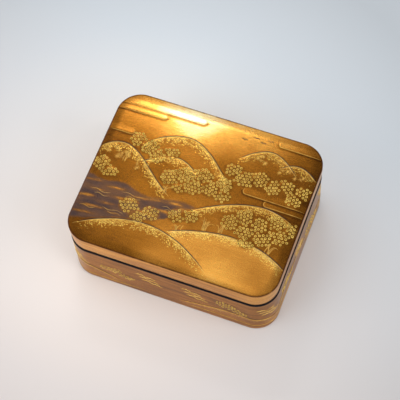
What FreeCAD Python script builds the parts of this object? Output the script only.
"""Lacquered incense box with a flush-fitting lid and a lift-out tray.

The box is a rounded rectangle of thin cypress boards and corner blocks under a gold lacquer coat.
A riser band lines its walls and stands above the seam. The lid slips down over the riser, its
sides come flush with the box, and both mouths carry a thin metal rim. A shallow tray hangs on the
riser by its lip. The origin is the centre of the underside, +X runs along the length, +Z is up
and the front faces -Y.
"""

import math
import os

import FreeCAD
import Part
import Sketcher

SHEET = "Sizes"

# The driving sizes in millimetres.
SIZES = {
    # Outside, over the gold lacquer.
    "box_length": 120.0,
    "box_width": 95.4,
    "corner_radius": 13.6,
    # From the underside to the seam where the two rims meet.
    "seam_height": 33.4,
    # From the seam to the crisp upper edge of the lid.
    "lid_side": 13.1,
    # How far the lid swells above that edge, and the radius of the roll that leads down to it.
    "lid_rise": 1.7,
    "shoulder_radius": 20.0,
    # Cloth, ground and gold lacquer outside, and plain lacquer inside.
    "coat_thickness": 0.8,
    "lining_thickness": 0.3,
    "bottom_bevel": 0.5,
    # Wood of the lid. A rebate seats its top board between the walls.
    "lid_board": 1.8,
    "top_board": 3.8,
    "top_rebate": 0.6,
    # The lid slides on the riser with this gap all round.
    "lid_clearance": 0.3,
    # The floor board and the tongue round it, which sits in a groove of the walls.
    "floor_board": 3.0,
    "floor_tongue": 1.0,
    "floor_groove": 0.9,
    # A corner block runs straight past its curve, and takes the tongues of the boards.
    "corner_leg": 3.0,
    "board_tongue": 0.7,
    "tongue_length": 1.8,
    # The metal rims of the two mouths.
    "rim_height": 0.8,
    "rim_bevel": 0.2,
    # The riser band, and how far it stands above the seam.
    "riser_band": 1.6,
    "riser_height": 4.0,
    # The tray below its lip.
    "tray_depth": 12.0,
    "tray_board": 1.4,
    "tray_floor": 1.4,
    "tray_rebate": 0.5,
    "tray_clearance": 0.4,
    # The lip hangs on the riser and stays back from its outer face.
    "lip_thickness": 0.8,
    "lip_setback": 0.5,
    "lip_bevel": 0.3,
}

RIGHT_ANGLE_DEG = 90

# The origin of a sketch, and the ends and centre of a line or an arc in it.
ORIGIN = -1
START, END, CENTRE = range(1, 4)


class Size:
    """A length with its value and the sheet expression that gives it."""

    def __init__(self, value, text):
        self.value = value
        self.text = text

    def __add__(self, other):
        return Size(self.value + other.value, f"({self.text} + {other.text})")

    def __sub__(self, other):
        return Size(self.value - other.value, f"({self.text} - {other.text})")

    def __neg__(self):
        return Size(-self.value, f"(-{self.text})")

    def __truediv__(self, count):
        return Size(self.value / count, f"({self.text} / {count})")

    def beside(self, other):
        """Returns the second short side of a right triangle whose long side this is."""
        side = math.sqrt(self.value ** 2 - other.value ** 2)
        return Size(side, f"sqrt({self.text}^2 - {other.text}^2)")


ZERO = Size(0.0, "0")


def named(alias):
    """Returns the driving size of that name."""
    return Size(SIZES[alias], f"{SHEET}.{alias}")


half_length = named("box_length") / 2
half_width = named("box_width") / 2
corner_radius = named("corner_radius")
coat = named("coat_thickness")
lining = named("lining_thickness")
rim_height = named("rim_height")
top_rebate = named("top_rebate")
shoulder_radius = named("shoulder_radius")

# Faces, by how far they lie inside the outer face of the box.
lid_board_inner = coat + named("lid_board")
lid_lining_inner = lid_board_inner + lining
riser_face = lid_lining_inner + named("lid_clearance")
riser_inner = riser_face + named("riser_band")
box_lining_inner = riser_inner + lining
tray_outer = box_lining_inner + named("tray_clearance")
tray_inner = tray_outer + named("tray_board")
lip_outer = riser_face + named("lip_setback")
floor_tongue_outer = riser_face - named("floor_groove")
shoulder_inner = shoulder_radius.beside(shoulder_radius - named("lid_rise"))

# Levels above the surface that the box stands on.
floor_bottom = coat
floor_top = floor_bottom + named("floor_board")
tongue_bottom = floor_bottom + (named("floor_board") - named("floor_tongue")) / 2
seam = named("seam_height")
box_wall_top = seam - rim_height
lid_wall_bottom = seam + rim_height
lid_edge = seam + named("lid_side")
lid_top = lid_edge + named("lid_rise")
lid_wall_top = lid_top - coat - named("top_board")
lid_ceiling = lid_wall_top - top_rebate
riser_top = seam + named("riser_height")
tray_bottom = riser_top - named("tray_depth")
tray_floor_top = tray_bottom + named("tray_floor")
lip_top = riser_top + named("lip_thickness")


def make_sheet(doc):
    """Writes the driving sizes into the spreadsheet, one row for each."""
    sheet = doc.addObject("Spreadsheet::Sheet", SHEET)
    for row, (alias, value) in enumerate(SIZES.items(), start=1):
        sheet.set(f"A{row}", alias.replace("_", " "))
        sheet.set(f"B{row}", str(value))
        sheet.setAlias(f"B{row}", alias)
    doc.recompute()


def make_body(doc, label):
    """Adds an empty sub-part of that label."""
    body = doc.addObject("PartDesign::Body", label)
    body.Label = label
    return body


def sketch_at(body, name, level):
    """Adds a level sketch at that height in the sub-part's own frame."""
    sketch = body.newObject("Sketcher::SketchObject", f"{body.Name}_{name}")
    plane = next(item for item in body.Origin.OriginFeatures if item.Role == "XY_Plane")
    sketch.AttachmentSupport = [(plane, "")]
    sketch.MapMode = "FlatFace"
    sketch.setExpression("AttachmentOffset.Base.z", level.text)
    return sketch


def bind(sketch, kind, places, size):
    """Adds a dimension to the sketch and ties it to its size."""
    index = sketch.addConstraint(Sketcher.Constraint(kind, *places, size.value))
    sketch.setExpression(f"Constraints[{index}]", size.text)


def point(x, y):
    """Returns a point in the plane of a sketch."""
    return FreeCAD.Vector(x, y, 0)


def line(sketch, start, end):
    """Draws a line and returns its number in the sketch."""
    return sketch.addGeometry(Part.LineSegment(point(*start), point(*end)), False)


def arc(sketch, centre, radius, quarter):
    """Draws a quarter circle that starts that many quarter turns from +X, and returns its number."""
    circle = Part.Circle(point(*centre), FreeCAD.Vector(0, 0, 1), radius)
    start = quarter * math.pi / 2
    return sketch.addGeometry(Part.ArcOfCircle(circle, start, start + math.pi / 2), False)


def fix(sketch, kind, *places):
    """Adds a relation without a size to the sketch."""
    sketch.addConstraint(Sketcher.Constraint(kind, *places))


def draw_rounded(sketch, half_x, half_y, radius):
    """Draws a rounded rectangle about the origin of the sketch."""
    x, y, r = half_x.value, half_y.value, radius.value
    corners = ((x - r, r - y), (x - r, y - r), (r - x, y - r), (r - x, r - y))
    front = line(sketch, (r - x, -y), (x - r, -y))
    right = line(sketch, (x, r - y), (x, y - r))
    back = line(sketch, (x - r, y), (r - x, y))
    left = line(sketch, (-x, y - r), (-x, r - y))
    arcs = [arc(sketch, corner, r, turn - 1) for turn, corner in enumerate(corners)]
    sides = (front, right, back, left)
    for turn, bend in enumerate(arcs):
        fix(sketch, "Tangent", sides[turn], END, bend, START)
        fix(sketch, "Tangent", bend, END, sides[(turn + 1) % len(sides)], START)
    for side in (front, back):
        fix(sketch, "Horizontal", side)
    for side in (right, left):
        fix(sketch, "Vertical", side)
    for bend in arcs[1:]:
        fix(sketch, "Equal", arcs[0], bend)
    bind(sketch, "Radius", (arcs[0],), radius)
    bind(sketch, "DistanceX", (ORIGIN, START, right, START), half_x)
    bind(sketch, "DistanceX", (left, START, ORIGIN, START), half_x)
    bind(sketch, "DistanceY", (ORIGIN, START, back, START), half_y)
    bind(sketch, "DistanceY", (front, START, ORIGIN, START), half_y)


def draw_inset(sketch, inset):
    """Draws the outline of the box in plan, set in by a distance."""
    draw_rounded(sketch, half_length - inset, half_width - inset, corner_radius - inset)


def place(sketch, kind, spot, size):
    """Ties one coordinate of a point to a size, on either side of the sketch's origin."""
    if size.value < 0:
        bind(sketch, kind, (*spot, ORIGIN, START), -size)
    else:
        bind(sketch, kind, (ORIGIN, START, *spot), size)


def draw_rectangle(sketch, across, along):
    """Draws a rectangle between two places across and two places along."""
    left, right = across
    low, high = along
    corners = [(left, low), (right, low), (right, high), (left, high)]
    points = [(x.value, y.value) for x, y in corners]
    lines = [line(sketch, points[turn - 1], points[turn]) for turn in range(len(points))]
    for turn, side in enumerate(lines):
        fix(sketch, "Coincident", lines[turn - 1], END, side, START)
        fix(sketch, "Horizontal" if turn % 2 else "Vertical", side)
    for turn in (0, 2):
        place(sketch, "DistanceX", (lines[turn], END), corners[turn][0])
        place(sketch, "DistanceY", (lines[turn], END), corners[turn][1])


def draw_strip(sketch, half_run, far, near):
    """Draws a strip of a wall board on the front side, between two distances from the middle."""
    draw_rectangle(sketch, (-half_run, half_run), (-far, -near))


def draw_bend(sketch, outer_radius, inner_radius, leg):
    """Draws a quarter ring about the origin with a straight leg at each end."""
    outer, inner, reach = outer_radius.value, inner_radius.value, leg.value
    left_out = line(sketch, (-outer, reach), (-outer, 0))
    out_arc = arc(sketch, (0, 0), outer, 2)
    front_out = line(sketch, (0, -outer), (reach, -outer))
    right_end = line(sketch, (reach, -outer), (reach, -inner))
    front_in = line(sketch, (reach, -inner), (0, -inner))
    in_arc = arc(sketch, (0, 0), inner, 2)
    left_in = line(sketch, (-inner, 0), (-inner, reach))
    left_end = line(sketch, (-inner, reach), (-outer, reach))
    for bend in (out_arc, in_arc):
        fix(sketch, "Coincident", bend, CENTRE, ORIGIN, START)
    fix(sketch, "Tangent", left_out, END, out_arc, START)
    fix(sketch, "Tangent", out_arc, END, front_out, START)
    fix(sketch, "Tangent", front_in, END, in_arc, END)
    fix(sketch, "Tangent", in_arc, START, left_in, START)
    joined = ((front_out, right_end), (right_end, front_in), (left_in, left_end), (left_end, left_out))
    for before, after in joined:
        fix(sketch, "Coincident", before, END, after, START)
    for side in (left_out, right_end, left_in):
        fix(sketch, "Vertical", side)
    for side in (front_out, front_in, left_end):
        fix(sketch, "Horizontal", side)
    bind(sketch, "Radius", (out_arc,), outer_radius)
    bind(sketch, "Radius", (in_arc,), inner_radius)
    bind(sketch, "DistanceX", (ORIGIN, START, right_end, START), leg)
    bind(sketch, "DistanceY", (ORIGIN, START, left_end, START), leg)


def draw_slots(sketch, leg, outer):
    """Draws the slot at the end of each leg of a corner block, in from the leg's end."""
    along = (leg - named("tongue_length"), leg)
    across = (-outer, named("board_tongue") - outer)
    draw_rectangle(sketch, along, across)
    draw_rectangle(sketch, across, along)


def pad(body, sketch, height):
    """Raises the sketch by a height."""
    feature = body.newObject("PartDesign::Pad", f"{sketch.Name}_pad")
    feature.Profile = sketch
    feature.setExpression("Length", height.text)
    sketch.Document.recompute()


def cut(body, sketch, depth):
    """Cuts upward from the sketch by a depth, and stops the build if nothing was cut away."""
    before = body.Shape.Volume
    feature = body.newObject("PartDesign::Pocket", f"{sketch.Name}_cut")
    feature.Profile = sketch
    feature.Reversed = True
    feature.setExpression("Length", depth.text)
    sketch.Document.recompute()
    if not body.Shape.Volume < before:
        raise RuntimeError(f"{feature.Name} cuts nothing")


def ease_edges(body, kind, dimension, size, level, inset):
    """Bevels or rounds the edges of the sub-part along one outline, by the kind of feature."""
    base = body.Tip
    numbered = enumerate(base.Shape.Edges, start=1)
    names = [f"Edge{number}" for number, edge in numbered if on_outline(edge, level, inset)]
    feature = body.newObject(f"PartDesign::{kind}", f"{body.Name}_{kind}")
    feature.Base = (base, names)
    feature.setExpression(dimension, size.text)
    body.Document.recompute()


def bevel(body, size, level, inset):
    """Bevels the sub-part along the outline at a level and an inset."""
    ease_edges(body, "Chamfer", "Size", size, level, inset)


def on_outline(edge, level, inset):
    """Tells whether an edge runs at a level, along the outline of the box set in by a distance."""
    box = edge.BoundBox
    slack = lining.value / 2
    middle = edge.valueAt((edge.FirstParameter + edge.LastParameter) / 2)
    straight_x = half_length.value - corner_radius.value
    straight_y = half_width.value - corner_radius.value
    past_x = max(abs(middle.x) - straight_x, 0)
    past_y = max(abs(middle.y) - straight_y, 0)
    reach = math.hypot(past_x, past_y)
    level_run = max(abs(box.ZMin - level.value), abs(box.ZMax - level.value)) < slack
    return level_run and abs(reach - (corner_radius - inset).value) < slack


def make_plate(doc, label, inset, level, height):
    """Makes a flat board with the plan of the box, set in by a distance."""
    body = make_body(doc, label)
    sketch = sketch_at(body, "plan", level)
    draw_inset(sketch, inset)
    pad(body, sketch, height)
    return body


def make_ring(doc, label, outer, inner, level, height):
    """Makes an upright band round the box between two insets."""
    body = make_body(doc, label)
    sketch = sketch_at(body, "plan", level)
    draw_inset(sketch, outer)
    draw_inset(sketch, inner)
    pad(body, sketch, height)
    return body


def make_board(doc, label, span, reach, faces, levels, turn):
    """Makes a straight wall board with a tongue at each end.

    span is half the outer length of its wall, reach is how far the wall's outer face lies from
    the middle of the box, faces are the insets of its outer and inner face, levels its lowest and
    highest level, and turn the right angles about +Z that take it from the front to its own wall.
    """
    outer, inner = faces
    low, high = levels
    half_run = span - corner_radius - named("corner_leg")
    side = (inner - outer - named("board_tongue")) / 2
    tongued = half_run + named("tongue_length")
    body = make_body(doc, label)
    plank = sketch_at(body, "plank", low)
    draw_strip(plank, half_run, reach - outer, reach - inner)
    pad(body, plank, high - low)
    tongues = sketch_at(body, "tongues", low)
    draw_strip(tongues, tongued, reach - outer - side, reach - inner + side)
    pad(body, tongues, high - low)
    body.Placement.Rotation = FreeCAD.Rotation(FreeCAD.Vector(0, 0, 1), turn * RIGHT_ANGLE_DEG)
    return body, tongued


def groove_board(body, tongued, reach):
    """Cuts the groove for the floor board along the inner face of a wall board."""
    groove = sketch_at(body, "groove", tongue_bottom)
    draw_strip(groove, tongued, reach - floor_tongue_outer, reach - riser_face)
    cut(body, groove, named("floor_tongue"))


def make_corner(doc, label, faces, levels, centre, turn):
    """Makes a corner block: a quarter bend with two legs, slotted for the tongues of the boards."""
    outer, inner = faces
    low, high = levels
    leg = named("corner_leg")
    side = (inner - outer - named("board_tongue")) / 2
    body = make_body(doc, label)
    bend = sketch_at(body, "bend", low)
    draw_bend(bend, corner_radius - outer, corner_radius - inner, leg)
    pad(body, bend, high - low)
    slots = sketch_at(body, "slots", low)
    draw_slots(slots, leg, corner_radius - outer - side)
    cut(body, slots, high - low)
    body.Placement.Rotation = FreeCAD.Rotation(FreeCAD.Vector(0, 0, 1), turn * RIGHT_ANGLE_DEG)
    for axis, (sign, distance) in centre.items():
        body.setExpression(f"Placement.Base.{axis}", f"{sign} * {distance.text}")
    return body


def groove_corner(body):
    """Cuts the groove for the floor board round the inside of a corner block."""
    groove = sketch_at(body, "groove", tongue_bottom)
    draw_bend(groove, corner_radius - floor_tongue_outer, corner_radius - riser_face,
              named("corner_leg"))
    cut(body, groove, named("floor_tongue"))


def make_walls(doc, part, faces, levels, grooved):
    """Makes the four wall boards and four corner blocks of the box or the lid."""
    along, across = (half_length, half_width), (half_width, half_length)
    sides = (("front", along), ("right", across), ("back", along), ("left", across))
    for turn, (side, (span, reach)) in enumerate(sides):
        body, tongued = make_board(doc, f"{part}_{side}_board", span, reach, faces, levels, turn)
        if grooved:
            groove_board(body, tongued, reach)
    centre_x, centre_y = half_length - corner_radius, half_width - corner_radius
    corners = (("front_left", -1, -1), ("front_right", 1, -1), ("back_right", 1, 1),
               ("back_left", -1, 1))
    for turn, (corner, sign_x, sign_y) in enumerate(corners):
        centre = {"x": (sign_x, centre_x), "y": (sign_y, centre_y)}
        body = make_corner(doc, f"{part}_corner_{corner}", faces, levels, centre, turn)
        if grooved:
            groove_corner(body)


def make_domed(doc, label, inset, level):
    """Makes a block with the plan of the box, set in by a distance, under the swell of the lid.

    The swell is the top of a larger block whose upper edges are rolled over. The outline of the
    lid cuts through that roll, so the top meets the sides at a crisp edge, and with every inset
    the surface lies as far below the outermost one.
    """
    larger = make_plate(doc, f"{label}_swell", shoulder_inner - shoulder_radius + inset, ZERO,
                        lid_top - inset)
    ease_edges(larger, "Fillet", "Radius", shoulder_radius - inset, lid_top - inset,
               shoulder_inner - shoulder_radius + inset)
    body = make_plate(doc, label, inset, level, lid_top - level)
    combine(body, larger, "Common")
    return body


def combine(body, tool, kind):
    """Joins a sub-part with a tool body, keeping what they share or cutting the tool away."""
    before = body.Shape.Volume
    feature = body.newObject("PartDesign::Boolean", f"{body.Name}_{kind}")
    feature.Type = kind
    feature.setObjects([tool])
    body.Document.recompute()
    if not body.Shape.Volume < before:
        raise RuntimeError(f"{feature.Name} cuts nothing")


def make_floor_board(doc):
    """Makes the floor of the box, with the tongue that the walls hold all round."""
    body = make_plate(doc, "box_floor_board", riser_face, floor_bottom, floor_top - floor_bottom)
    tongue = sketch_at(body, "tongue", tongue_bottom)
    draw_inset(tongue, floor_tongue_outer)
    pad(body, tongue, named("floor_tongue"))
    return body


def make_box_lacquer(doc):
    """Makes the gold coat of the box walls, eased at the lower edge."""
    body = make_ring(doc, "box_gold_lacquer", ZERO, coat, ZERO, box_wall_top)
    bevel(body, named("bottom_bevel"), ZERO, ZERO)


def make_cup(doc, label, inset, level, top, below):
    """Makes a thin lining with a wall and a floor, or a wall and a ceiling where below is false."""
    body = make_plate(doc, label, inset, level, top - level)
    hollow = sketch_at(body, "hollow", level + lining if below else level)
    draw_inset(hollow, inset + lining)
    cut(body, hollow, top - level - lining)
    return body


def make_rim(doc, label, inner, level, seam_level):
    """Makes a metal mouth rim, eased where it meets its fellow outside."""
    body = make_ring(doc, label, ZERO, inner, level, rim_height)
    bevel(body, named("rim_bevel"), seam_level, ZERO)


def make_top_board(doc):
    """Makes the swelling top board of the lid, with a rebate that sits between the lid walls."""
    body = make_domed(doc, "lid_top_board", coat, lid_wall_top)
    rebate = sketch_at(body, "rebate", lid_ceiling)
    draw_inset(rebate, lid_board_inner)
    pad(body, rebate, top_rebate)


def make_lid_lacquer(doc):
    """Makes the gold coat of the lid: its sides and its swelling top in one skin."""
    body = make_domed(doc, "lid_gold_lacquer", ZERO, lid_wall_bottom)
    combine(body, make_domed(doc, "lid_hollow", coat, lid_wall_bottom), "Cut")


def make_box(doc):
    """Makes the fixed part of the box."""
    make_walls(doc, "box", (coat, riser_face), (floor_bottom, box_wall_top), True)
    make_floor_board(doc)
    make_plate(doc, "box_underside", coat, ZERO, floor_bottom)
    make_ring(doc, "box_riser", riser_face, riser_inner, floor_top, riser_top - floor_top)
    make_cup(doc, "box_lining", riser_inner, floor_top, riser_top, True)
    make_box_lacquer(doc)
    make_rim(doc, "box_rim", riser_face, box_wall_top, seam)


def make_lid(doc):
    """Makes the lid, which slips down over the riser and rests rim on rim."""
    make_walls(doc, "lid", (coat, lid_board_inner), (lid_wall_bottom, lid_wall_top), False)
    make_top_board(doc)
    make_cup(doc, "lid_lining", lid_board_inner, lid_wall_bottom, lid_ceiling, False)
    make_lid_lacquer(doc)
    make_rim(doc, "lid_rim", lid_lining_inner, seam, seam)


def make_tray(doc):
    """Makes the tray that hangs on the riser by its lip."""
    wall = make_ring(doc, "tray_wall", tray_outer, tray_inner, tray_bottom, riser_top - tray_bottom)
    seat = sketch_at(wall, "seat", tray_bottom)
    draw_inset(seat, tray_inner - named("tray_rebate"))
    cut(wall, seat, named("tray_floor"))
    make_plate(doc, "tray_floor", tray_inner - named("tray_rebate"), tray_bottom, named("tray_floor"))
    make_cup(doc, "tray_lining", tray_inner, tray_floor_top, lip_top, True)
    lip = make_ring(doc, "tray_lip", lip_outer, tray_inner, riser_top, named("lip_thickness"))
    bevel(lip, named("lip_bevel"), lip_top, lip_outer)


def is_tool(body):
    """Tells whether a body only shapes another one."""
    return any(user.TypeId == "PartDesign::Boolean" for user in body.InList)


def check(doc):
    """Stops the build if any object failed or any sub-part has a faulty shape."""
    for item in doc.Objects:
        if "Invalid" in item.State or "Error" in item.State:
            raise RuntimeError(f"{item.Label} failed: {item.State}")
    bodies = [item for item in doc.Objects if item.TypeId == "PartDesign::Body"]
    bodies = [body for body in bodies if not is_tool(body)]
    for body in bodies:
        if body.Shape.isNull() or not body.Shape.isValid() or len(body.Shape.Solids) != 1:
            raise RuntimeError(f"{body.Label} has a faulty shape")
    return bodies


def main():
    """Builds the document and writes one file for each sub-part."""
    doc = FreeCAD.newDocument("IncenseBox")
    make_sheet(doc)
    make_box(doc)
    make_tray(doc)
    make_lid(doc)
    doc.recompute()
    os.makedirs("parts", exist_ok=True)
    for body in check(doc):
        body.Shape.exportStep(os.path.join("parts", f"{body.Label}.step"))
        print(f"{body.Label}: {body.Shape.Volume:.1f}")


main()
